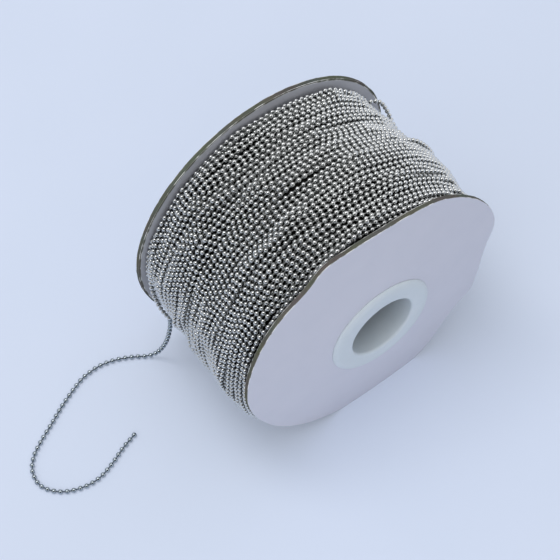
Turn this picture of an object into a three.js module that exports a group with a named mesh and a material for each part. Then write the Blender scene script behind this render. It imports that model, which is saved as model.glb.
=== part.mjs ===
import * as THREE from 'three';
import { mergeVertices } from 'three/addons/utils/BufferGeometryUtils.js';

// A reel of fine nickel-plated ball chain, the kind that is cut to length for blind cords
// and pulls. The reel is two greyboard flanges pushed onto a paper core and held by two
// moulded plastic bushings. It lies on its flanges, and the last stretch of chain hangs
// from the winding and lies loose on the floor.
// Lengths are millimetres. The reel's axis runs along Y with the front flange towards -Y,
// and the origin is on the floor under the middle of the reel.

// Flanges
const flangeRadius = 50;
const rearFlangeExtra = 0.8;
const boardThickness = 1.6;
const flangeSpacing = 64;
const frontDish = 3.9;
const standingFlatDepth = 0.8;
const flangeSegments = 80;

// How far the front flange's hand-trimmed edge strays from the round, as pairs of
// degrees from +X towards +Z and millimetres outwards.
const frontTrim = [
  [-171, 0.2], [-155, -0.6], [-135, -0.2], [-118, 0.6], [-100, 1.4], [-78, 2.8],
  [-67, 4.2], [-59, 2.8], [-51, -0.4], [-43, -2.1], [-37, -1.0], [-31, 1.3],
  [-24, -0.3], [-12, -2.2], [-2, -1.6], [6, 1.2], [14, 1.8], [38, 0.7],
  [60, 0.1], [74, -1.5], [90, -2.1], [103, -0.8], [113, 0.9], [124, -0.7],
  [140, 0.4], [165, 0.5],
];

// Core and bushings
const boreRadius = 12.1;
const sleeveWall = 2.1;
const sleeveLength = 22;
const collarRadius = 19.5;
const collarHeight = 1.5;
const collarRounding = 2.6;
const mouthRounding = 0.9;
const pushFit = 0.3;
const coreWall = 2.2;
const bushingSegments = 36;
const coreSegments = 36;

// Chain
const ballDiameter = 1.5;
const turnSpacing = 1.6;
const turnRelief = 0.5;
const crownRise = 0.1;
const leanDegrees = 22;
const settling = 3;
const windingClearance = 0.3;
const windingSegments = 34;
const pointsPerTurn = 3;
const cordSides = 8;
const cordStep = 4;

// The skin of the winding on the side where it bulges and on the side that it leans away
// from, as pairs of the share of the way from the front flange to the rear one and
// millimetres above the crown.
const fullSkin = [
  [0, -0.4], [0.06, 0.6], [0.16, 1.5], [0.23, 1.5], [0.33, 1.2], [0.4, 0.3],
  [0.6, 0], [0.8, 0], [0.86, -0.4], [0.93, -1.9], [0.97, -3.8], [1, -5.5],
];
const leanSkin = [
  [0, -2], [0.09, -1.7], [0.14, -1.2], [0.21, -1.2], [0.27, 0.4], [0.36, 0.8], [0.44, 0.3],
  [0.51, -0.9], [0.59, -0.9], [0.66, -1.7], [0.82, -1.1], [0.92, -1.4], [0.96, -3.2], [1, -5.8],
];

// The loose end's middle line, from where it leaves the winding to the bare last ball.
const looseEndRoute = [
  [-45.8, 22.1, 28.8], [-45.5, 22.4, 26.6], [-45.4, 22.6, 24], [-45.7, 22.8, 20.5],
  [-46.2, 23.1, 17], [-46.7, 23.6, 13.6],
  [-47.3, 24.3, 10.4], [-48.1, 25.2, 7.3], [-49.1, 26.3, 4.4], [-50.4, 27.6, 2.2],
  [-52.2, 28.9, 1.1], [-55.1, 31, 0.85], [-58.2, 32.8, 0.85], [-62.6, 34.7, 0.85],
  [-68, 35.8, 0.85], [-74.6, 35.3, 0.85], [-81, 33, 0.85], [-87, 30.3, 0.85],
  [-93, 27.1, 0.85], [-99, 24, 0.85], [-104.8, 20.4, 0.85], [-108.6, 15.6, 0.85],
  [-109.2, 9.4, 0.85], [-105.2, 3.8, 0.85], [-98.6, 0.7, 0.85], [-92, 0.2, 0.85],
  [-85.6, 2, 0.85], [-79.4, 4.6, 0.85], [-73, 6.6, 0.85],
];

const greyboard = new THREE.MeshStandardMaterial({ color: 0xb4b7c4, roughness: 0.7, metalness: 0 });
const coreBoard = new THREE.MeshStandardMaterial({ color: 0x9a8d78, roughness: 0.9, metalness: 0 });
const whitePlastic = new THREE.MeshStandardMaterial({ color: 0xc9d6dc, roughness: 0.4, metalness: 0 });
const nickelPlate = new THREE.MeshStandardMaterial({ color: 0xa9a8a4, roughness: 0.3, metalness: 0.9 });

const restHeight = flangeRadius + rearFlangeExtra - standingFlatDepth;
const crownRadius = flangeRadius + crownRise;
const halfSpacing = flangeSpacing / 2;
const sleeveRadius = boreRadius + sleeveWall;
const boardHoleRadius = sleeveRadius + pushFit;
const coreRadius = boardHoleRadius + coreWall;
const dishStart = collarRadius + 1;
const fullTurn = 2 * Math.PI;

// A height below the reel's axis becomes a height above the floor.
function onReelAxis(geometry) {
  geometry.translate(0, 0, restHeight);
  return geometry;
}

// Closes a sheet of points that runs once round the axis. Each row is the section's
// closed outline at one angle, as pairs of radius and place along the axis.
function ringSolid(rowAt, segments) {
  const positions = [];
  const indices = [];
  const rows = [];
  for (let j = 0; j <= segments; j += 1) {
    rows.push(rowAt(j));
  }
  const count = rows[0].length;
  rows.forEach((row, j) => {
    const angle = (fullTurn * (j % segments)) / segments;
    row.forEach(([radius, along]) => {
      positions.push(radius * Math.cos(angle), along, radius * Math.sin(angle));
    });
  });
  for (let j = 0; j < segments; j += 1) {
    for (let k = 0; k < count; k += 1) {
      const next = (k + 1) % count;
      const a = j * count + k;
      const b = j * count + next;
      const c = a + count;
      const d = b + count;
      indices.push(a, b, c, b, d, c);
    }
  }
  const sheet = new THREE.BufferGeometry();
  sheet.setAttribute('position', new THREE.Float32BufferAttribute(positions, 3));
  sheet.setIndex(indices);
  return dropCollapsed(mergeVertices(sheet, 1e-4));
}

// Removes the triangles that merged corners have collapsed to a line.
function dropCollapsed(geometry) {
  const source = geometry.getIndex().array;
  const kept = [];
  for (let i = 0; i < source.length; i += 3) {
    const [a, b, c] = [source[i], source[i + 1], source[i + 2]];
    if (a !== b && b !== c && c !== a) {
      kept.push(a, b, c);
    }
  }
  geometry.setIndex(kept);
  geometry.computeVertexNormals();
  return geometry;
}

// The trimmed edge between two listed directions is a smooth blend of its neighbours.
function trimAt(degrees) {
  const count = frontTrim.length;
  let index = count - 1;
  while (index > 0 && frontTrim[index][0] > degrees) {
    index -= 1;
  }
  if (degrees < frontTrim[0][0]) {
    index = count - 1;
  }
  const at = (step) => frontTrim[(index + step + count) % count];
  const start = at(0)[0];
  const span = (at(1)[0] - start + 360) % 360;
  const t = ((degrees - start + 360) % 360) / span;
  const curve = new THREE.SplineCurve([-1, 0, 1, 2].map((step) => new THREE.Vector2(step, at(step)[1])));
  return curve.getPoint((1 + t) / 3).y;
}

// A flange stands on a short flat, level with the rest of its edge at the floor.
function standingFlat(radius, angle) {
  const down = -Math.sin(angle);
  return down > 0.5 ? Math.min(radius, restHeight / down) : radius;
}

function frontEdgeRadius(angle) {
  const degrees = THREE.MathUtils.radToDeg(Math.atan2(Math.sin(angle), Math.cos(angle)));
  return standingFlat(flangeRadius + trimAt(degrees), angle);
}

function rearEdgeRadius(angle) {
  return standingFlat(flangeRadius + rearFlangeExtra, angle);
}

// The front board bows back towards the winding from the bushing's collar to its edge.
function dishAt(radius) {
  return (frontDish * Math.max(0, radius - dishStart)) / (flangeRadius - dishStart);
}

function frontFlange() {
  const outer = -halfSpacing;
  const inner = outer + boardThickness;
  return onReelAxis(ringSolid((j) => {
    const edge = frontEdgeRadius((fullTurn * j) / flangeSegments);
    return [
      [boardHoleRadius, outer], [dishStart, outer], [edge, outer + dishAt(edge)],
      [edge, inner + dishAt(edge)], [dishStart, inner], [boardHoleRadius, inner],
    ];
  }, flangeSegments));
}

function rearFlange() {
  const outer = halfSpacing;
  const inner = outer - boardThickness;
  return onReelAxis(ringSolid((j) => {
    const edge = rearEdgeRadius((fullTurn * j) / flangeSegments);
    return [[boardHoleRadius, inner], [edge, inner], [edge, outer], [boardHoleRadius, outer]];
  }, flangeSegments));
}

// A section turned round the reel's axis, as pairs of radius and place along the axis.
function turned(section, segments) {
  const points = section.map(([radius, along]) => new THREE.Vector2(radius, along));
  points.push(points[0].clone());
  return onReelAxis(new THREE.LatheGeometry(points, segments));
}

function coreTube() {
  const end = halfSpacing - boardThickness;
  return turned([
    [boardHoleRadius, -end], [coreRadius, -end], [coreRadius, end], [boardHoleRadius, end],
  ], coreSegments);
}

// A quarter of an ellipse from one side of a corner to the other.
function roundedCorner(radius, along, width, height, from, to, steps) {
  const points = [];
  for (let i = 0; i <= steps; i += 1) {
    const angle = from + ((to - from) * i) / steps;
    points.push([radius + width * Math.cos(angle), along + height * Math.sin(angle)]);
  }
  return points;
}

// A bushing is a sleeve that is pushed into the core, with a soft-edged collar outside.
// The section is drawn for the rear one, and the front one is its mirror.
function bushingSection() {
  const face = halfSpacing + collarHeight;
  const quarter = Math.PI / 2;
  return [
    [boreRadius, halfSpacing - sleeveLength],
    [sleeveRadius, halfSpacing - sleeveLength],
    [sleeveRadius, halfSpacing],
    ...roundedCorner(collarRadius - collarRounding, halfSpacing, collarRounding, collarHeight, 0, quarter, 4),
    ...roundedCorner(boreRadius + mouthRounding, face - mouthRounding, mouthRounding, mouthRounding,
      quarter, 2 * quarter, 3),
  ];
}

function rearBushing() {
  return turned(bushingSection(), bushingSegments);
}

function frontBushing() {
  return turned(bushingSection().reverse().map(([radius, along]) => [radius, -along]), bushingSegments);
}

// The height of one side's skin above the crown, between the places of its list.
function skinHeight(skin, share) {
  let index = 0;
  while (index < skin.length - 2 && skin[index + 1][0] < share) {
    index += 1;
  }
  const [fromShare, fromHeight] = skin[index];
  const [toShare, toHeight] = skin[index + 1];
  return THREE.MathUtils.lerp(fromHeight, toHeight, (share - fromShare) / (toShare - fromShare));
}

// How far the winding's skin is from the axis. It leans from one side of the reel to the
// other and has settled underneath, where the chain's weight pulls it clear of the floor.
function crownAt(share, angle) {
  const lean = (1 + Math.cos(angle - THREE.MathUtils.degToRad(leanDegrees))) / 2;
  const skin = THREE.MathUtils.lerp(skinHeight(fullSkin, share), skinHeight(leanSkin, share), lean);
  const settled = settling * Math.max(0, -Math.sin(angle)) ** 3;
  return crownRadius + skin - settled;
}

// Where the winding ends at each flange, for a point this far from the axis.
function windingFront(radius) {
  return -halfSpacing + boardThickness + dishAt(radius) + windingClearance;
}

const windingRear = halfSpacing - boardThickness - windingClearance;

// One point of the outermost layer. The strand climbs one spacing for each time round,
// and it strays and sinks a little along its length, as a machine-wound chain does.
function strandPoint(turn, angle) {
  const stray = 0.3 * Math.sin(turn * 1.9 + 2 * Math.sin(angle)) * Math.sin(angle * 3 + turn);
  const front = windingFront(crownAt(0, angle));
  const along = front + (turn + stray) * turnSpacing;
  const share = (along - front) / (windingRear - front);
  if (share <= 0 || turn <= 0) {
    return endPoint(0, angle);
  }
  if (share >= 1) {
    return endPoint(1, angle);
  }
  const crest = Math.abs(turn - Math.round(turn)) > 0.2;
  const sunk = 0.25 * Math.sin(Math.floor(turn) * 2.4 + 3 * Math.sin(angle + turn * 0.2));
  return [crownAt(share, angle) - (crest ? 0 : turnRelief) + sunk * (crest ? 1 : 0), along];
}

function endPoint(share, angle) {
  const radius = crownAt(share, angle) - turnRelief;
  return [radius, share === 0 ? windingFront(radius) : windingRear];
}

function chainWinding() {
  const inside = coreRadius + windingClearance;
  const turns = Math.ceil((2 * halfSpacing) / turnSpacing) + 1;
  return onReelAxis(ringSolid((j) => {
    const angle = (fullTurn * (j % windingSegments)) / windingSegments;
    const row = [[inside, windingFront(inside)], [dishStart, windingFront(dishStart)], endPoint(0, angle)];
    for (let k = -pointsPerTurn; k <= turns * pointsPerTurn; k += 1) {
      row.push(strandPoint(k / pointsPerTurn + j / windingSegments, angle));
    }
    row.push(endPoint(1, angle), [inside, windingRear]);
    return row;
  }, windingSegments));
}

// The loose end, as a plain cord of the balls' diameter.
function chainLooseEnd() {
  const route = new THREE.CatmullRomCurve3(looseEndRoute.map((point) => new THREE.Vector3(...point)));
  const radius = ballDiameter / 2;
  const section = new THREE.Shape();
  for (let i = 0; i < cordSides; i += 1) {
    const angle = (fullTurn * i) / cordSides;
    section[i === 0 ? 'moveTo' : 'lineTo'](radius * Math.cos(angle), radius * Math.sin(angle));
  }
  section.closePath();
  return new THREE.ExtrudeGeometry(section, {
    steps: Math.round(route.getLength() / cordStep),
    extrudePath: route,
  });
}

function piece(name, geometry, material) {
  const mesh = new THREE.Mesh(geometry, material);
  mesh.name = name;
  return mesh;
}

const chainReel = new THREE.Group();
chainReel.add(
  piece('front_flange', frontFlange(), greyboard),
  piece('rear_flange', rearFlange(), greyboard),
  piece('core_tube', coreTube(), coreBoard),
  piece('front_bushing', frontBushing(), whitePlastic),
  piece('rear_bushing', rearBushing(), whitePlastic),
  piece('chain_winding', chainWinding(), nickelPlate),
  piece('chain_loose_end', chainLooseEnd(), nickelPlate),
);

export default chainReel;
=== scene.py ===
import math

import bmesh
import bpy
import numpy as np
from mathutils import Matrix, Vector


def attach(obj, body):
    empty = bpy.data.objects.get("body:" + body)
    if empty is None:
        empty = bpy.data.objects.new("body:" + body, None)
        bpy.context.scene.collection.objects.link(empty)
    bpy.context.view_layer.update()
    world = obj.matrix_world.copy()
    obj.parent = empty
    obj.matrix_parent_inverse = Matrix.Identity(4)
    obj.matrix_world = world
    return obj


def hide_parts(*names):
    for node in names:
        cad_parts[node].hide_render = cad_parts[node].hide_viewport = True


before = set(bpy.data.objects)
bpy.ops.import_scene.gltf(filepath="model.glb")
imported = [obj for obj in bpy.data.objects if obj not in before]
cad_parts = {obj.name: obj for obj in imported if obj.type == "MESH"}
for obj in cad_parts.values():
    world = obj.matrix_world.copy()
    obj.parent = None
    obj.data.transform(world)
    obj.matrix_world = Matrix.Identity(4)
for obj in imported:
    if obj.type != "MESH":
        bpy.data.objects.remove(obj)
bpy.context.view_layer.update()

# Camera. It looks down on the reel from the front left, with a long lens, as the
# photograph does. Its place was worked out from the outlines of the flanges and the bore.
camera_turn = math.radians(-37.12)
camera_height = math.radians(57.62)
camera_roll = math.radians(-0.27)
camera_place = Vector((-0.2331, -0.2867, 0.6189))
sensor_width = 36.0
lens_length = 132.7

back = Vector((
    math.sin(camera_turn) * math.cos(camera_height),
    -math.cos(camera_turn) * math.cos(camera_height),
    math.sin(camera_height),
))
level = Vector((math.cos(camera_turn), math.sin(camera_turn), 0.0))
upward = back.cross(level)
side = math.cos(camera_roll) * level + math.sin(camera_roll) * upward
upward = math.cos(camera_roll) * upward - math.sin(camera_roll) * level

camera_data = bpy.data.cameras.new("photo_camera")
camera_data.sensor_width = sensor_width
camera_data.lens = lens_length
camera_data.clip_start = 0.01
camera = bpy.data.objects.new("photo_camera", camera_data)
camera.matrix_world = Matrix.Translation(camera_place) @ Matrix((side, upward, back)).transposed().to_4x4()
bpy.context.scene.collection.objects.link(camera)
bpy.context.scene.camera = camera


# Loose end of the chain. Hollow nickel-plated balls, 1.5 mm across, are rolled round the
# ends of short wire links. The last stretch hangs from the winding and lies on the floor.
# Lengths are in mm. The balls are a little over their size, to look as wide as in the photo.
mm = 0.001
ball_diameter = 1.66
link_diameter = 0.48
wire_inside_ball = 0.8
slack_pitch = 2.25
alike_balls = 9
play_seed = 5
route_step = 0.25
sight_length = 0.3
loose_route = [
    (-45.8, 22.1, 28.8), (-45.5, 22.4, 26.6), (-45.4, 22.6, 24), (-45.7, 22.8, 20.5),
    (-46.2, 23.1, 17), (-46.7, 23.6, 13.6), (-47.3, 24.3, 10.4), (-48.1, 25.2, 7.3),
    (-49.1, 26.3, 4.4), (-50.4, 27.6, 2.2),
    (-52.2, 28.9, 1.1), (-55.1, 31, 0.85), (-58.2, 32.8, 0.85), (-62.6, 34.7, 0.85),
    (-68, 35.8, 0.85), (-74.6, 35.3, 0.85), (-81, 33, 0.85), (-87, 30.3, 0.85),
    (-93, 27.1, 0.85), (-99, 24, 0.85), (-104.8, 20.4, 0.85), (-108.6, 15.6, 0.85),
    (-109.2, 9.4, 0.85), (-105.2, 3.8, 0.85), (-98.6, 0.7, 0.85), (-92, 0.2, 0.85),
    (-85.6, 2, 0.85), (-79.4, 4.6, 0.85), (-73, 6.6, 0.85),
]


def linear(hex_colour):
    """A colour as a screen shows it, turned into the even scale that the shaders mix in."""
    channels = [int(hex_colour[i:i + 2], 16) / 255 for i in (1, 3, 5)]
    return (*[c / 12.92 if c <= 0.04045 else ((c + 0.055) / 1.055) ** 2.4 for c in channels], 1.0)


def new_material(name):
    """An empty node material, ready for the nodes of one finish."""
    material = bpy.data.materials.new(name)
    material.use_nodes = True
    material.node_tree.nodes.clear()
    return material


def add_node(material, kind, settings=None, links=None):
    """Adds one node. Settings fill its own properties or sockets, and links feed its sockets."""
    node = material.node_tree.nodes.new(kind)
    for name, value in (settings or {}).items():
        if isinstance(name, str) and hasattr(node, name) and name not in node.inputs:
            setattr(node, name, value)
        else:
            node.inputs[name].default_value = value
    for name, output in (links or {}).items():
        material.node_tree.links.new(output, node.inputs[name])
    return node


def bright_nickel(name, pale, dull, gloss, rim="#ffffff"):
    """Bright nickel plate on rolled steel. It mirrors the room, so each ball shows one sharp light and a
    dark spot. Its tone changes along the chain and its gloss from ball to ball, and rim tints the edge of
    each ball; a dark rim there is painted shade."""
    material = new_material(name)
    place = add_node(material, "ShaderNodeTexCoord").outputs["Object"]
    tarnish = add_node(
        material, "ShaderNodeTexNoise", {"Scale": 1 / (7 * mm), "Detail": 2.0}, {"Vector": place},
    )
    ball_tint = add_node(
        material, "ShaderNodeTexNoise", {"Scale": 1 / (1.6 * mm), "Detail": 1.0}, {"Vector": place},
    )
    colour = add_node(
        material, "ShaderNodeMix", {"data_type": "RGBA", 6: linear(pale), 7: linear(dull)},
        {"Factor": tarnish.outputs["Fac"]},
    )
    roughness = add_node(
        material, "ShaderNodeMapRange",
        {"From Min": 0.3, "From Max": 0.7, "To Min": gloss, "To Max": gloss + 0.1},
        {"Value": ball_tint.outputs["Fac"]},
    )
    surface = add_node(
        material, "ShaderNodeBsdfPrincipled", {"Metallic": 1.0, "Specular Tint": linear(rim)},
        {"Base Color": colour.outputs[2], "Roughness": roughness.outputs["Result"]},
    )
    add_node(material, "ShaderNodeOutputMaterial", None, {"Surface": surface.outputs["BSDF"]})
    return material


def new_piece(name, mesh, materials):
    """Closes a bmesh into an object of the reel, with its place in its mesh."""
    data = bpy.data.meshes.new(name)
    mesh.to_mesh(data)
    mesh.free()
    for material in materials:
        data.materials.append(material)
    piece = bpy.data.objects.new(name, data)
    bpy.context.scene.collection.objects.link(piece)
    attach(piece, "root")
    return piece


def blend(a, b, c, d, t):
    """A smooth curve between b and c, a share t of the way, with a and d next to them."""
    return 0.5 * (
        2 * b + (c - a) * t + (2 * a - 5 * b + 4 * c - d) * t ** 2 + (3 * b - a - 3 * c + d) * t ** 3
    )


def smooth_path(points, step):
    """Points about step apart on a smooth curve through the given ones."""
    points = np.array(points, float)
    padded = np.vstack([2 * points[0] - points[1], points, 2 * points[-1] - points[-2]])
    curve = []
    for i in range(len(points) - 1):
        a, b, c, d = padded[i:i + 4]
        count = max(2, int(np.linalg.norm(c - b) / step))
        for t in np.arange(count) / count:
            curve.append(blend(a, b, c, d, t))
    curve.append(points[-1])
    return np.array(curve)


def beads_along(path, pitch, pull=0.0):
    """Where the balls sit on a path, pitch apart, and which way the chain runs there. The
    links are pulled out or pushed in by a share of the pitch, a few balls at a time."""
    steps = np.linalg.norm(np.diff(path, axis=0), axis=1)
    length = np.concatenate([[0.0], np.cumsum(steps)])
    at = np.arange(0, length[-1] + 1e-6, pitch)
    noise = np.random.default_rng(play_seed).normal(size=len(at) + alike_balls - 1)
    play = np.convolve(noise, np.ones(alike_balls) / math.sqrt(alike_balls), "valid")
    drift = np.cumsum(play - play.mean())
    at = np.clip(at + pitch * pull * drift, 0, length[-1])
    places, ahead, behind = (
        np.stack([np.interp(at + shift, length, path[:, axis]) for axis in range(3)], axis=1)
        for shift in (0, sight_length, -sight_length)
    )
    return places, ahead - behind


def ball_shape(segments, rings):
    """One rolled ball, its poles where the wires go in, as a mesh to be repeated."""
    shape = bmesh.new()
    bmesh.ops.create_uvsphere(shape, u_segments=segments, v_segments=rings, radius=ball_diameter / 2 * mm)
    for face in shape.faces:
        face.smooth = True
    ball = bpy.data.meshes.new("ball")
    shape.to_mesh(ball)
    shape.free()
    return ball


def link_shape(segments):
    """One wire link of unit length, standing on its middle, as a mesh to be repeated."""
    shape = bmesh.new()
    radius = link_diameter / 2 * mm
    bmesh.ops.create_cone(shape, cap_ends=True, segments=segments, radius1=radius, radius2=radius, depth=1.0)
    for face in shape.faces:
        face.smooth = len(face.verts) == 4
        face.material_index = 1
    link = bpy.data.meshes.new("link")
    shape.to_mesh(link)
    shape.free()
    return link


def stamp(mesh, shape, place, direction, length=1.0):
    """Sets one copy of a shape at a place, in mm, with its long axis along a direction."""
    turn = Vector(direction).to_track_quat("Z", "Y").to_matrix().to_4x4()
    copy = shape.copy()
    copy.transform(Matrix.Translation(Vector(place) * mm) @ turn @ Matrix.Diagonal((1, 1, length, 1)))
    mesh.from_mesh(copy)
    bpy.data.meshes.remove(copy)


def string_chain(mesh, ball, link, places, directions):
    """Lays balls at the places, and a wire link from each ball to the next."""
    for place, direction in zip(places, directions):
        stamp(mesh, ball, place, direction)
    for here, there in zip(places[:-1], places[1:]):
        gap = np.linalg.norm(there - here)
        stamp(mesh, link, (here + there) / 2, there - here, (gap - wire_inside_ball * ball_diameter) * mm)


# The wound balls are bright. The loose end is coloured darker as painted shade, with dark rims that are
# painted shade too, and bluer. The wires are coloured greyer, as painted shade between the balls, and softer
# in their gloss, so that the balls stand out.
nickel = bright_nickel("bright_nickel_plate", "#dddfdf", "#c7c9c8", 0.07)
# Painted shade: the wires are coloured greyer than the balls.
wire = bright_nickel("nickel_on_drawn_wire", "#a4a6a5", "#878987", 0.25)
# Painted shade: the loose end's balls and wires are coloured darker, with dark rims.
loose_nickel_painted_dark = bright_nickel("loose_nickel_with_painted_shade", "#bcc6cd", "#a7b2b9", 0.06, "#3c4248")
loose_wire_painted_dark = bright_nickel("loose_wire_with_painted_shade", "#7b868e", "#667078", 0.3)
loose_path = smooth_path(loose_route, route_step)
loose_places, loose_directions = beads_along(loose_path, slack_pitch)
loose_mesh = bmesh.new()
string_chain(loose_mesh, ball_shape(14, 10), link_shape(8), loose_places, loose_directions)
loose_end = new_piece("loose_end_balls", loose_mesh, [loose_nickel_painted_dark, loose_wire_painted_dark])
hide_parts("chain_loose_end")


# Core tube. Strips of brown-grey paper are glued and wound into a tube that the chain is
# wound on. It shows only inside the bore, past the ends of the two bushings.
strip_width = 38.0
band_repeat = 0.314

# Wound paper is matt and dusty brown, with a faint change of tone from strip to strip. At a
# scale of 1 the bands are band_repeat apart, in m. The fibre is drawn coarser than the real
# one, which is too fine to show.
core_paper = new_material("spiral_wound_core_paper")
place = add_node(core_paper, "ShaderNodeTexCoord").outputs["Object"]
fibre = add_node(
    core_paper, "ShaderNodeTexNoise", {"Scale": 1 / (0.8 * mm), "Detail": 4.0}, {"Vector": place},
)
strips = add_node(
    core_paper, "ShaderNodeTexWave",
    {
        "wave_type": "BANDS", "bands_direction": "Y", "Scale": band_repeat / (strip_width * mm),
        "Distortion": 0.4,
    },
    {"Vector": place},
)
strip_tone = add_node(
    core_paper, "ShaderNodeMix", {"data_type": "RGBA", 6: linear("#8f8370"), 7: linear("#a59a86")},
    {"Factor": strips.outputs["Fac"]},
)
core_colour = add_node(
    core_paper, "ShaderNodeMix", {"data_type": "RGBA", "blend_type": "MULTIPLY", 0: 0.35},
    {6: strip_tone.outputs[2], 7: fibre.outputs["Color"]},
)
core_bump = add_node(
    core_paper, "ShaderNodeBump", {"Strength": 0.3, "Distance": 0.1 * mm}, {"Height": fibre.outputs["Fac"]},
)
core_surface = add_node(
    core_paper, "ShaderNodeBsdfPrincipled", {"Roughness": 0.9, "Specular IOR Level": 0.25},
    {"Base Color": core_colour.outputs[2], "Normal": core_bump.outputs["Normal"]},
)
add_node(core_paper, "ShaderNodeOutputMaterial", None, {"Surface": core_surface.outputs["BSDF"]})
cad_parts["core_tube"].data.materials.clear()
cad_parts["core_tube"].data.materials.append(core_paper)


# Flanges. Each is a disc cut from greyboard, 1.6 mm thick, with white facing paper glued
# outside and grey paper inside. The front one is trimmed by hand and bows back at its edge.
reel_height = 50.0
flange_radius = 50.0
rear_extra = 0.8
board_thickness = 1.6
half_spacing = 32.0
board_hole = 14.5
dish_depth = 3.9
dish_start = 20.5
rim_rounding = 0.18
torn_back = flange_radius - 0.4
torn_width = 0.25
paper_thickness = 0.18
paper_lip = 0.03
paper_seen = 0.12
lip_width = 0.05
rim_bulge = 0.03
hole_edge = 16
ring_radii = [board_hole, 17, dish_start, 26, 32, 38, 43, 46.5, 48.6]
trim_from = 32
ragged_from = 49.5
coarse_stray = 0.07
fine_stray = 0.035
coarse_step = 4
glued_depth = 0.3
glued_stray = 0.4
foot_step = 0.3
outline_steps = 240

# The front flange's cut, as pairs of degrees and how far its edge lies past the round.
front_trim = [
    (-171, 0.2), (-155, -0.6), (-135, -0.2), (-118, 0.6), (-100, 1.4), (-78, 2.8),
    (-67, 4.2), (-59, 2.8), (-51, -0.4), (-43, -2.1), (-37, -1.0), (-31, 1.3),
    (-24, -0.3), (-12, -2.2), (-2, -1.6), (6, 1.2), (14, 1.8), (38, 0.7),
    (60, 0.1), (74, -1.5), (90, -2.1), (103, -0.8), (113, 0.9), (124, -0.7),
    (140, 0.4), (165, 0.5),
]


def trim_at(degrees):
    """How far the front edge strays outwards at this direction, blended from the list."""
    count = len(front_trim)
    index = max((i for i in range(count) if front_trim[i][0] <= degrees), default=count - 1)
    around = [front_trim[(index + step) % count] for step in (-1, 0, 1, 2)]
    t = ((degrees - around[1][0] + 360) % 360) / ((around[2][0] - around[1][0] + 360) % 360)
    a, b, c, d = (pair[1] for pair in around)
    return blend(a, b, c, d, t)


def dish_at(radius):
    """How far the front board has bowed back at this distance from the axis."""
    return dish_depth * max(0.0, radius - dish_start) / (flange_radius - dish_start)


def spun(section, steps):
    """Turns a closed section, as pairs of radius and place along the axis, round that axis."""
    mesh = bmesh.new()
    corners = [mesh.verts.new((radius * mm, along * mm, reel_height * mm)) for radius, along in section]
    edges = [mesh.edges.new(pair) for pair in zip(corners, corners[1:] + corners[:1])]
    bmesh.ops.spin(
        mesh, geom=corners + edges, cent=(0, 0, reel_height * mm), axis=(0, 1, 0),
        dvec=(0, 0, 0), angle=2 * math.pi, steps=steps, use_merge=True,
    )
    bmesh.ops.remove_doubles(mesh, verts=mesh.verts, dist=1e-6)
    bmesh.ops.recalc_face_normals(mesh, faces=mesh.faces)
    for face in mesh.faces:
        face.smooth = True
    return mesh


def board(name, edge_radius, outer, facing, dish, seed):
    """One flange: rings of paper, paper edge and bare board, pushed out to the cut edge. Its
    outer face lies at outer and looks the way that facing gives, -1 to the front, 1 to the rear."""
    inner = outer - facing * board_thickness
    rings = ring_radii + [torn_back - torn_width, torn_back, flange_radius - rim_rounding]
    lip_radius = flange_radius - lip_width
    bulge_radius = flange_radius + rim_bulge
    section = [(r, outer) for r in rings]
    section += [(lip_radius, outer - facing * paper_lip), (flange_radius, outer - facing * paper_thickness)]
    section += [(bulge_radius, outer - facing * board_thickness * share) for share in (0.35, 0.65)]
    section += [(flange_radius, inner + facing * paper_thickness), (lip_radius, inner + facing * paper_lip)]
    section += [(r, inner) for r in reversed(rings)]
    mesh = spun(section, outline_steps)
    for face in mesh.faces:
        middle = face.calc_center_median()
        radius = math.hypot(middle.x, middle.z - reel_height * mm) / mm
        depth = abs(middle.y / mm - outer)
        lined = depth > board_thickness - paper_lip
        face.smooth = lined or depth < paper_lip
        if depth < paper_lip:
            face.material_index = 0
        elif lined and radius < torn_back:
            face.material_index = 3 if radius < torn_back - torn_width else 2
        elif lined or radius < hole_edge or paper_seen < depth < board_thickness - paper_seen:
            face.material_index = 1
        else:
            face.material_index = 2
    noise = np.random.default_rng(seed)
    coarse = noise.normal(0, coarse_stray, outline_steps // coarse_step)
    fine = noise.normal(0, fine_stray, outline_steps)
    for vertex in mesh.verts:
        x, y, z = vertex.co.x / mm, vertex.co.y / mm, vertex.co.z / mm - reel_height
        radius = math.hypot(x, z)
        angle = math.atan2(z, x)
        pull = max(0.0, (radius - trim_from) / (flange_radius - trim_from)) ** 3
        grown = radius + pull * (edge_radius(angle) - flange_radius)
        if radius > ragged_from:
            spot = (angle / (2 * math.pi) % 1.0) * outline_steps
            stray = np.interp(spot / coarse_step % len(coarse), range(len(coarse)), coarse)
            stray += fine[int(spot) % outline_steps]
            bare = min(1.0, abs(y - outer) / glued_depth, abs(y - inner) / glued_depth)
            grown += stray * (glued_stray + (1 - glued_stray) * bare)

        # The lowest stretch stands on the floor, with the rings in from the edge kept apart.
        down = -math.sin(angle)
        if down > 0.5:
            grown = min(grown, reel_height / down - foot_step * max(0.0, flange_radius - radius))
        along = y + (dish_at(grown) if dish else 0.0)
        vertex.co = Vector((math.cos(angle) * grown, along, math.sin(angle) * grown + reel_height)) * mm
    return new_piece(name, mesh, [facing_paper, bare_greyboard, paper_edge, lining_paper])


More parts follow.
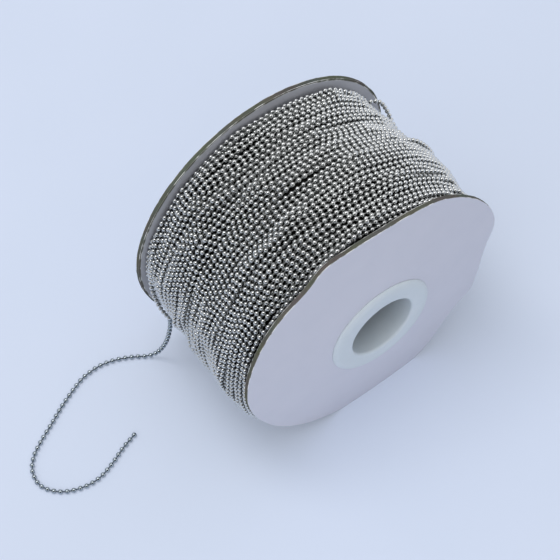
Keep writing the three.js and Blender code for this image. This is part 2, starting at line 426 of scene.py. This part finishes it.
def paper(name, pale, dull):
    """Smooth paper glued to the board: a faint cloud of tone and a fibre just felt in its gloss.
    The fibre is drawn coarser than the real one, which is too fine to show."""
    material = new_material(name)
    place = add_node(material, "ShaderNodeTexCoord").outputs["Object"]
    cloudy = add_node(
        material, "ShaderNodeTexNoise", {"Scale": 1 / (9 * mm), "Detail": 3.0}, {"Vector": place},
    )
    fibres = add_node(
        material, "ShaderNodeTexNoise", {"Scale": 1 / (0.5 * mm), "Detail": 3.0}, {"Vector": place},
    )
    tone = add_node(
        material, "ShaderNodeMix", {"data_type": "RGBA", 6: linear(dull), 7: linear(pale)},
        {"Factor": cloudy.outputs["Fac"]},
    )
    bump = add_node(
        material, "ShaderNodeBump", {"Strength": 0.12, "Distance": 0.05 * mm},
        {"Height": fibres.outputs["Fac"]},
    )
    gloss = add_node(
        material, "ShaderNodeMapRange", {"To Min": 0.5, "To Max": 0.62}, {"Value": fibres.outputs["Fac"]},
    )
    surface = add_node(
        material, "ShaderNodeBsdfPrincipled", {"Specular IOR Level": 0.35},
        {
            "Base Color": tone.outputs[2], "Roughness": gloss.outputs["Result"],
            "Normal": bump.outputs["Normal"],
        },
    )
    add_node(material, "ShaderNodeOutputMaterial", None, {"Surface": surface.outputs["BSDF"]})
    return material


facing_paper = paper("white_facing_paper", "#e2e1ea", "#dbdbe5")
lining_paper = paper("grey_lining_paper", "#cbcbcf", "#bcbcc2")

# Bare greyboard is pressed waste paper: quite matt and olive grey, in thin plies that show
# as lines along the cut, and stained darker in places.
bare_greyboard = new_material("bare_greyboard_edge")
place = add_node(bare_greyboard, "ShaderNodeTexCoord").outputs["Object"]
plies = add_node(bare_greyboard, "ShaderNodeMapping", {"Scale": (1.0, 9.0, 1.0)}, {"Vector": place})
ply_lines = add_node(
    bare_greyboard, "ShaderNodeTexNoise", {"Scale": 1 / (2.2 * mm), "Detail": 3.0},
    {"Vector": plies.outputs["Vector"]},
)
stain = add_node(
    bare_greyboard, "ShaderNodeTexNoise", {"Scale": 1 / (11 * mm), "Detail": 2.0}, {"Vector": place},
)
ply_tone = add_node(
    bare_greyboard, "ShaderNodeMix", {"data_type": "RGBA", 6: linear("#4d4e46"), 7: linear("#807f74")},
    {"Factor": ply_lines.outputs["Fac"]},
)
board_tone = add_node(
    bare_greyboard, "ShaderNodeMix", {"data_type": "RGBA", "blend_type": "MULTIPLY", 0: 0.5},
    {6: ply_tone.outputs[2], 7: stain.outputs["Color"]},
)
board_bump = add_node(
    bare_greyboard, "ShaderNodeBump", {"Strength": 0.7, "Distance": 0.15 * mm},
    {"Height": ply_lines.outputs["Fac"]},
)
board_surface = add_node(
    bare_greyboard, "ShaderNodeBsdfPrincipled", {"Roughness": 0.95, "Specular IOR Level": 0.2},
    {"Base Color": board_tone.outputs[2], "Normal": board_bump.outputs["Normal"]},
)
add_node(bare_greyboard, "ShaderNodeOutputMaterial", None, {"Surface": board_surface.outputs["BSDF"]})

# The facing paper's cut edge is torn: white where the paper stands out, and the board's
# grey where it is gone.
paper_edge = new_material("cut_edge_of_facing_paper")
place = add_node(paper_edge, "ShaderNodeTexCoord").outputs["Object"]
torn = add_node(paper_edge, "ShaderNodeTexNoise", {"Scale": 1 / (4 * mm), "Detail": 4.0}, {"Vector": place})
torn_share = add_node(
    paper_edge, "ShaderNodeMapRange", {"From Min": 0.46, "From Max": 0.58}, {"Value": torn.outputs["Fac"]},
)
edge_tone = add_node(
    paper_edge, "ShaderNodeMix", {"data_type": "RGBA", 6: linear("#77766c"), 7: linear("#efeeea")},
    {"Factor": torn_share.outputs["Result"]},
)
edge_surface = add_node(
    paper_edge, "ShaderNodeBsdfPrincipled", {"Roughness": 0.85}, {"Base Color": edge_tone.outputs[2]},
)
add_node(paper_edge, "ShaderNodeOutputMaterial", None, {"Surface": edge_surface.outputs["BSDF"]})

front_board = board(
    "front_flange_board", lambda angle: flange_radius + trim_at(math.degrees(angle)),
    -half_spacing, facing=-1, dish=True, seed=11,
)
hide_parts("front_flange")
rear_board = board(
    "rear_flange_board", lambda angle: flange_radius + rear_extra,
    half_spacing, facing=1, dish=False, seed=12,
)
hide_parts("rear_flange")


# Bushings. A white polypropylene sleeve with a soft-edged collar is moulded in one shot
# and pushed through each flange into the core. Its bore takes the spindle of a stand.
bore_radius = 12.1
sleeve_radius = 14.2
sleeve_end = 10.0
sleeve_chamfer = 0.3
collar_radius = 19.5
collar_height = 1.5
collar_rounding = 2.6
mouth_rounding = 0.9
bushing_steps = 128


def quarter_round(radius, along, width, height, start, end, steps):
    """A quarter of an ellipse in a section, between two angles in degrees."""
    angles = [math.radians(start + (end - start) * i / steps) for i in range(steps + 1)]
    return [(radius + width * math.cos(a), along + height * math.sin(a)) for a in angles]


# Polypropylene as moulded has a soft gloss and lets a little light in, so its edges look milky. Down the
# bore its colour is darkened, the deeper the darker, as painted shade. The mould's grain is drawn coarser
# than the real one, which is too fine to show.
white_plastic = new_material("moulded_white_polypropylene")
place = add_node(white_plastic, "ShaderNodeTexCoord").outputs["Object"]
flow = add_node(
    white_plastic, "ShaderNodeTexNoise", {"Scale": 1 / (6 * mm), "Detail": 2.0}, {"Vector": place},
)
grain = add_node(
    white_plastic, "ShaderNodeTexNoise", {"Scale": 1 / (0.6 * mm), "Detail": 2.0}, {"Vector": place},
)
plastic_tone = add_node(
    white_plastic, "ShaderNodeMix", {"data_type": "RGBA", 6: linear("#d9e2e6"), 7: linear("#e4eaed")},
    {"Factor": flow.outputs["Fac"]},
)
along_axis = add_node(white_plastic, "ShaderNodeSeparateXYZ", None, {"Vector": place})
depth = add_node(white_plastic, "ShaderNodeMath", {"operation": "ABSOLUTE"}, {0: along_axis.outputs["Y"]})
# Painted shade: the plastic's colour is darkened towards the middle of the bore.
bore_painted_shade = add_node(
    white_plastic, "ShaderNodeMapRange",
    {"From Min": 16 * mm, "From Max": 32.6 * mm, "To Min": 0.5, "To Max": 1.0},
    {"Value": depth.outputs["Value"]},
)
bore_shaded_tone = add_node(
    white_plastic, "ShaderNodeVectorMath", {"operation": "SCALE"},
    {0: plastic_tone.outputs[2], "Scale": bore_painted_shade.outputs["Result"]},
)
plastic_bump = add_node(
    white_plastic, "ShaderNodeBump", {"Strength": 0.1, "Distance": 0.05 * mm},
    {"Height": grain.outputs["Fac"]},
)
plastic_gloss = add_node(
    white_plastic, "ShaderNodeMapRange", {"To Min": 0.34, "To Max": 0.44}, {"Value": flow.outputs["Fac"]},
)
plastic_surface = add_node(
    white_plastic, "ShaderNodeBsdfPrincipled",
    {
        "IOR": 1.49, "Subsurface Weight": 0.15, "Subsurface Radius": (1.0, 1.0, 1.0),
        "Subsurface Scale": 1.2 * mm,
    },
    {
        "Base Color": bore_shaded_tone.outputs["Vector"], "Roughness": plastic_gloss.outputs["Result"],
        "Normal": plastic_bump.outputs["Normal"],
    },
)
add_node(white_plastic, "ShaderNodeOutputMaterial", None, {"Surface": plastic_surface.outputs["BSDF"]})

collar_face = half_spacing + collar_height
for name, node, facing in (
    ("front_bushing_moulding", "front_bushing", -1), ("rear_bushing_moulding", "rear_bushing", 1),
):
    section = [
        (bore_radius, sleeve_end + sleeve_chamfer), (bore_radius + sleeve_chamfer, sleeve_end),
        (sleeve_radius - sleeve_chamfer, sleeve_end), (sleeve_radius, sleeve_end + sleeve_chamfer),
        (sleeve_radius, half_spacing),
    ]
    section += quarter_round(
        collar_radius - collar_rounding, half_spacing, collar_rounding, collar_height, 0, 90, 8,
    )
    section += quarter_round(
        bore_radius + mouth_rounding, collar_face - mouth_rounding, mouth_rounding, mouth_rounding,
        90, 180, 6,
    )
    section = [(radius, facing * along) for radius, along in section]
    bushing = new_piece(name, spun(section, bushing_steps), [white_plastic])
    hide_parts(node)


# Winding. About 185 m of ball chain is laid on by machine, to and fro between the flanges.
# Each turn sinks into the grooves of the turns below, strays a little, and climbs out again.
wound_pitch = 2.35
wound_play = 0.03
row_spacings = (1.56, 1.62, 1.69)
layer_depth = 1.38
contact = 1.5
side_gap = 0.2
winding_edge = 48.0
leaving_reach = math.radians(30)
free_headroom = 0.9
loop_headroom_loss = 1.7
loop_place, loop_width = 24.5, 6
loop_degrees, loop_reach = 25, 22
points_per_turn = 600
laying_seed = 3
laying_steps = 132
laying_angles = np.arange(laying_steps) * 2 * np.pi / laying_steps
laying_degrees = np.degrees(laying_angles)

# The winding's skin on its fuller and its leaner side, as pairs of place along the axis and
# radius. The leaner side faces lean_angle, and underneath the skin has settled by settling.
lean_angle = math.radians(22)
settling = 3.0
full_side = np.array([
    (-27, 48.2), (-24.5, 49.7), (-23, 50.5), (-17.3, 52.2), (-13.4, 52.2), (-7.7, 51.3), (-3.8, 50.3),
    (8, 50), (19.2, 50), (22.4, 49.55), (26.2, 48.5), (28.2, 47.6), (30.4, 46.9),
])
lean_side = np.array([
    (-27, 48), (-21.1, 48.35), (-18.6, 48.85), (-14.1, 48.85), (-10.9, 50.45), (-5.8, 50.8), (-1.3, 50.35),
    (2.6, 49), (7, 48.4), (10.9, 47.6), (14.1, 47.7), (20, 47.6), (25.5, 47.7), (28, 47.4), (30.4, 46.8),
])

# How a turn is laid. It wanders in long and short waves, given in degrees, and keeps part of
# the drift of the turn before. It can rest on any of the last turns_felt turns. In each round
# it slides off the ones that it rests on, is drawn back to its guide and straightens a little.
wander = 0.5
short_wander = 0.12
long_wave = 60
short_wave = 18
drift_kept = 0.65
drift_added = 0.76
turns_felt = 110
touching_share = 0.98
least_height = 0.35
laying_rounds = 60
slide_share = 0.05
guide_share = 0.0175
straighten_share = 0.24
tightening_rounds = 40

# The last turn and a half, as pairs of degrees and place along the axis. It lies beside the
# rear flange and leads to the loose end. Part of it has slipped off to one side in a slack
# loop, given as pairs of degrees and radius.
last_strand = np.array([
    (0, 27), (25, 28.6), (50, 29.2), (270, 29.1), (300, 27), (330, 22.5), (345, 20.6), (360, 20.2),
    (365, 20.4), (373, 21.5), (376, 22), (379.5, 22.7), (383, 23.5), (387, 24.3), (389, 25), (391, 25.5),
    (393, 25.8), (404, 26.6), (418, 27.2), (500, 27.4), (525, 27.1), (545, 25), (560, 22.6), (566, 22.1),
    (720, 22.1),
])
slack_loop = np.array([
    (360, 0), (365, 48.2), (373, 49.5), (376, 49.7), (379.5, 49.9), (383, 50.1), (387, 50.2), (389, 50),
    (391, 49.3), (393, 48.2), (395, 47), (397, 46.3), (400, 0),
])


def crown(along, angle):
    """How far the winding's skin is from the axis: fuller on its left, settled underneath."""
    lean = (1 + np.cos(angle - lean_angle)) / 2
    skin = lean * np.interp(along, *lean_side.T) + (1 - lean) * np.interp(along, *full_side.T)
    return skin - settling * np.maximum(0, -np.sin(angle)) ** 3


def straying(noise, reach):
    """A smooth wander round one turn, with waves no shorter than reach degrees."""
    waves = int(360 / reach)
    share = noise.normal(size=(waves, 2)) / math.sqrt(waves)
    total = np.zeros(laying_steps)
    for wave in range(waves):
        turned = (wave + 1) * laying_angles
        total += share[wave, 0] * np.cos(turned) + share[wave, 1] * np.sin(turned)
    return total


def rest_on(path, below_along, below_radius, bed):
    """How high a turn rests at each angle on the turns below it, and which way it slides."""
    radius = bed.copy()
    slide = np.zeros(laying_steps)
    if len(below_along):
        aside = path[None, :] - below_along
        near = np.abs(aside) < contact * touching_share
        height = np.where(near, np.sqrt(np.maximum(contact ** 2 - aside ** 2, 0.01)), 0)
        held = np.where(near, below_radius + height, -1)
        best = held.argmax(axis=0)
        columns = np.arange(laying_steps)
        above = held[best, columns] > radius
        radius = np.where(above, held[best, columns], radius)
        slope = aside[best, columns] / np.maximum(height[best, columns], least_height)
        slide = np.where(above, slope, 0)
    return radius, slide


def layer_guides(noise, start, end, spacing, front, rear):
    """Where the machine lays each turn of one layer: evenly, with a drift from turn to turn."""
    turns = int(abs(end - start) / spacing) + 1
    drift = np.zeros(laying_steps)
    guides = []
    for turn in range(turns):
        drift = drift_kept * drift + drift_added * straying(noise, long_wave)
        guide = start + (end - start) / turns * (turn + laying_angles / (2 * np.pi))
        strayed = guide + wander * drift + short_wander * straying(noise, short_wave)
        guides.append(np.clip(strayed, front, rear))
    return guides


def headroom(along):
    """How far a turn that crosses others may stand above the skin: least under the slack loop."""
    aside = (along - loop_place) / loop_width
    round_it = (laying_degrees - loop_degrees) / loop_reach
    return free_headroom - loop_headroom_loss * np.exp(-aside ** 4 - round_it ** 4)


def beside(values, before):
    """The sum of each value's two neighbours, with the end of the turn before in front."""
    ahead = 2 * values[-1] - values[-2]
    return np.concatenate([[before], values[:-1]]) + np.concatenate([values[1:], [ahead]])


def lay_turns():
    """Lays three layers of chain, turn by turn, and gives each turn's place, radius and layer."""
    noise = np.random.default_rng(laying_seed)
    front = -half_spacing + board_thickness + dish_at(winding_edge) + ball_diameter / 2 + side_gap
    rear = half_spacing - board_thickness - ball_diameter / 2 - side_gap
    chord = math.cos(2 * math.pi / laying_steps)
    along_rows = []
    radius_rows = []
    layer_rows = []
    for layer, spacing in enumerate(row_spacings):
        start, end = (front, rear) if layer % 2 == 0 else (rear, front)
        outermost = layer == len(row_spacings) - 1
        if outermost:
            end = last_strand[0][1]
        guides = layer_guides(noise, start, end, spacing, front, rear)
        lifts = [np.zeros(laying_steps)] * len(guides)
        if outermost:
            guides += [np.interp(laying_degrees + 360 * turn, *last_strand.T) for turn in (0, 1)]
            lifts += [np.interp(laying_degrees + 360 * turn, *slack_loop.T) for turn in (0, 1)]
        for guide, lift in zip(guides, lifts):
            path = guide.copy()
            below_along = np.array(along_rows[-turns_felt:])
            below_radius = np.array(radius_rows[-turns_felt:])
            before = along_rows[-1][-1] if along_rows else path[0]
            for _ in range(laying_rounds):
                bed = crown(path, laying_angles) - ball_diameter / 2 - 2 * layer_depth
                radius, slide = rest_on(path, below_along, below_radius, bed)
                bend = beside(path, before) - 2 * path
                path = path + slide_share * slide - guide_share * (path - guide) + straighten_share * bend
                path = np.clip(path, front, rear)

            # A taut chain can't follow a hollow, so it is raised to its own chords there.
            before = radius_rows[-1][-1] if radius_rows else radius[0]
            for _ in range(tightening_rounds):
                radius = np.maximum(radius, chord * 0.5 * beside(radius, before))
            radius = np.minimum(radius, crown(path, laying_angles) + headroom(path))
            radius = np.maximum(radius, lift)
            along_rows.append(path)
            radius_rows.append(radius)
            layer_rows.append(layer)
    return np.array(along_rows), np.array(radius_rows), np.array(layer_rows)


turns_along, turns_radius, turns_layer = lay_turns()


def chain_path(layer):
    """The whole path of one layer's chain, in mm, as one line with no breaks."""
    chosen = turns_layer == layer
    along = turns_along[chosen]
    radius = turns_radius[chosen]
    angle = np.concatenate([laying_angles + 2 * np.pi * turn for turn in range(len(along))])
    fine = np.arange(angle[0], angle[-1], 2 * np.pi / points_per_turn)
    along = np.interp(fine, angle, along.ravel())
    radius = np.interp(fine, angle, radius.ravel())
    if layer == len(row_spacings) - 1:
        x, y, z = loose_route[0]
        leave = 2 * np.pi * chosen.sum() + math.atan2(z - reel_height, x)
        fine = fine[fine < leave]
        along, radius = along[:len(fine)], radius[:len(fine)]
        near = np.clip(1 - (leave - fine) / leaving_reach, 0, 1) ** 2
        along += near * (y - along[-1])
        radius += near * (math.hypot(x, z - reel_height) - radius[-1])
    return np.stack([radius * np.cos(fine), along, reel_height + radius * np.sin(fine)], axis=1)


def wind(name, layer, parts, ball, link, materials):
    """Strings one layer's balls and links, in a few pieces of chain laid one after another."""
    places, directions = beads_along(chain_path(layer), wound_pitch, wound_play)
    bounds = np.linspace(0, len(places), parts + 1).astype(int)
    for part, (first, last) in enumerate(zip(bounds[:-1], bounds[1:])):
        mesh = bmesh.new()
        last = min(len(places), last + 1)
        string_chain(mesh, ball, link, places[first:last], directions[first:last])
        rows = new_piece(f"{name}_{part + 1}", mesh, materials)
        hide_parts("chain_winding")


wind("outer_turns", 2, 4, ball_shape(10, 7), link_shape(4), [nickel, wire])

# The second layer shows only between the outer balls, so it is plainer, and its plate is coloured less
# bright as painted shade.
shaded_nickel = bright_nickel("nickel_plate_in_shade", "#d0d2d2", "#b6b8b8", 0.12)
wind("second_turns", 1, 2, ball_shape(6, 4), link_shape(3), [shaded_nickel, wire])

# The turns further in are one ring with a ridge for each turn, down to the core, its plate coloured near
# black as painted shade. It shows only in the gaps between the balls.
core_outside = 17.0
inner_front = -26.8
inner_end = 30.1
inner_step = 0.4
inner_depth = 3.1
ridge_height = 0.3
ridge_pitch = 1.6
inner_steps = 120
inner_section = []
for along in np.arange(inner_front, inner_end, inner_step):
    ridge = ridge_height * abs(math.sin(math.pi * along / ridge_pitch))
    skin = min(crown(along, math.radians(angle)) for angle in range(0, 360, 15))
    inner_section.append((skin - inner_depth + ridge, along))
inner_section = [
    (core_outside, -inner_end), (dish_start, -inner_end), *inner_section, (core_outside, inner_end),
]
# Painted shade: the turns further in are coloured near black.
inner_chain_painted_shade = bright_nickel("nickel_coloured_as_painted_shade", "#2c2c29", "#20201e", 0.6)
inner = new_piece("inner_turns", spun(inner_section, inner_steps), [inner_chain_painted_shade])
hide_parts("chain_winding")


# Floor and light. The reel stands on a pale blue-white table of painted board, under one
# soft lamp above and behind it to the left. A little haze lifts the shadows to the camera.
floor_reach = 2.0
haze = 0.2
floor_mesh = bmesh.new()
bmesh.ops.create_grid(floor_mesh, x_segments=2, y_segments=2, size=floor_reach)
floor_data = bpy.data.meshes.new("table_top")
floor_mesh.to_mesh(floor_data)
floor_mesh.free()
floor = bpy.data.objects.new("table_top", floor_data)
bpy.context.scene.collection.objects.link(floor)

# Painted board is matt and even, with only a slow change of tone.
table = new_material("pale_blue_table")
place = add_node(table, "ShaderNodeTexCoord").outputs["Object"]
uneven = add_node(table, "ShaderNodeTexNoise", {"Scale": 1 / (60 * mm), "Detail": 1.0}, {"Vector": place})
table_tone = add_node(
    table, "ShaderNodeMix", {"data_type": "RGBA", 6: linear("#d9e2f2"), 7: linear("#dfe7f7")},
    {"Factor": uneven.outputs["Fac"]},
)
table_surface = add_node(
    table, "ShaderNodeBsdfPrincipled", {"Roughness": 0.8, "Specular IOR Level": 0.2},
    {"Base Color": table_tone.outputs[2]},
)
table_haze = add_node(table, "ShaderNodeEmission", {"Color": linear("#d4def1")})
camera_ray = add_node(table, "ShaderNodeLightPath").outputs["Is Camera Ray"]
haze_share = add_node(table, "ShaderNodeMath", {"operation": "MULTIPLY", 1: haze}, {0: camera_ray})
table_seen = add_node(
    table, "ShaderNodeMixShader", None,
    {0: haze_share.outputs["Value"], 1: table_surface.outputs["BSDF"], 2: table_haze.outputs["Emission"]},
)
add_node(table, "ShaderNodeOutputMaterial", None, {"Surface": table_seen.outputs["Shader"]})
floor_data.materials.append(table)

lamp_place = Vector((-0.22, 0.26, 1.15))
lamp_aim = Vector((0, 0, 0.04))
lamp_data = bpy.data.lights.new("key_lamp", "AREA")
lamp_data.shape = "RECTANGLE"
lamp_data.size = 0.35
lamp_data.size_y = 0.6
lamp_data.energy = 2.8
lamp = bpy.data.objects.new("key_lamp", lamp_data)
lamp.location = lamp_place
lamp.rotation_euler = (lamp_aim - lamp_place).to_track_quat("-Z", "Y").to_euler()
bpy.context.scene.collection.objects.link(lamp)


def cone(degrees):
    """The cosine at the edge of a cone this wide about a direction."""
    return math.cos(math.radians(degrees))


# The room is pale, as inside a light tent, and brightest overhead. The balls mirror it
# brighter on its right, with the dark side where the camera stands as a spot in each.
dark_side = (back + 0.16 * side - 0.3 * upward).normalized()
window_side = Vector((0.9, -0.1, 0.4)).normalized()
ceiling_side = (-0.32, -0.13, 0.94)
world = bpy.data.worlds.new("light_tent")
world.use_nodes = True
world.node_tree.nodes.clear()
around = add_node(world, "ShaderNodeTexCoord").outputs["Generated"]
towards_dark = add_node(
    world, "ShaderNodeVectorMath", {"operation": "DOT_PRODUCT", 1: tuple(dark_side)}, {0: around},
)
openness = add_node(
    world, "ShaderNodeMapRange",
    {
        "interpolation_type": "SMOOTHSTEP", "From Min": cone(46), "From Max": cone(24),
        "To Min": 1.0, "To Max": 0.02,
    },
    {"Value": towards_dark.outputs["Value"]},
)
towards_window = add_node(
    world, "ShaderNodeVectorMath", {"operation": "DOT_PRODUCT", 1: tuple(window_side)}, {0: around},
)
window_gain = add_node(
    world, "ShaderNodeMapRange",
    {"interpolation_type": "SMOOTHSTEP", "From Min": 0.1, "From Max": 0.9, "To Min": 0.5, "To Max": 0.95},
    {"Value": towards_window.outputs["Value"]},
)
towards_ceiling = add_node(
    world, "ShaderNodeVectorMath", {"operation": "DOT_PRODUCT", 1: ceiling_side}, {0: around},
)
ceiling = add_node(
    world, "ShaderNodeMapRange",
    {
        "interpolation_type": "SMOOTHSTEP", "From Min": cone(70), "From Max": cone(15),
        "To Min": 0.34, "To Max": 1.2,
    },
    {"Value": towards_ceiling.outputs["Value"]},
)
ceiling_gain = add_node(
    world, "ShaderNodeMapRange",
    {
        "interpolation_type": "SMOOTHSTEP", "From Min": cone(48), "From Max": cone(22),
        "To Min": 0.0, "To Max": 0.5,
    },
    {"Value": towards_ceiling.outputs["Value"]},
)
side_gain = add_node(
    world, "ShaderNodeMath", {"operation": "ADD"},
    {0: ceiling_gain.outputs["Result"], 1: window_gain.outputs["Result"]},
)
mirrored_level = add_node(
    world, "ShaderNodeMath", {"operation": "MULTIPLY"},
    {0: openness.outputs["Result"], 1: side_gain.outputs["Value"]},
)
tent = add_node(
    world, "ShaderNodeBackground", {"Color": linear("#f4f8ff")}, {"Strength": ceiling.outputs["Result"]},
)
mirrored_tent = add_node(
    world, "ShaderNodeBackground", {"Color": linear("#fdfdff")},
    {"Strength": mirrored_level.outputs["Value"]},
)
backdrop = add_node(world, "ShaderNodeBackground", {"Color": linear("#d4dff3")})
ray = add_node(world, "ShaderNodeLightPath").outputs
room = add_node(
    world, "ShaderNodeMixShader", None,
    {0: ray["Is Glossy Ray"], 1: tent.outputs["Background"], 2: mirrored_tent.outputs["Background"]},
)
room_seen = add_node(
    world, "ShaderNodeMixShader", None,
    {0: ray["Is Camera Ray"], 1: room.outputs["Shader"], 2: backdrop.outputs["Background"]},
)
add_node(world, "ShaderNodeOutputWorld", None, {"Surface": room_seen.outputs["Shader"]})
bpy.context.scene.world = world
bpy.context.scene.view_settings.view_transform = "Standard"

bpy.context.view_layer.update()
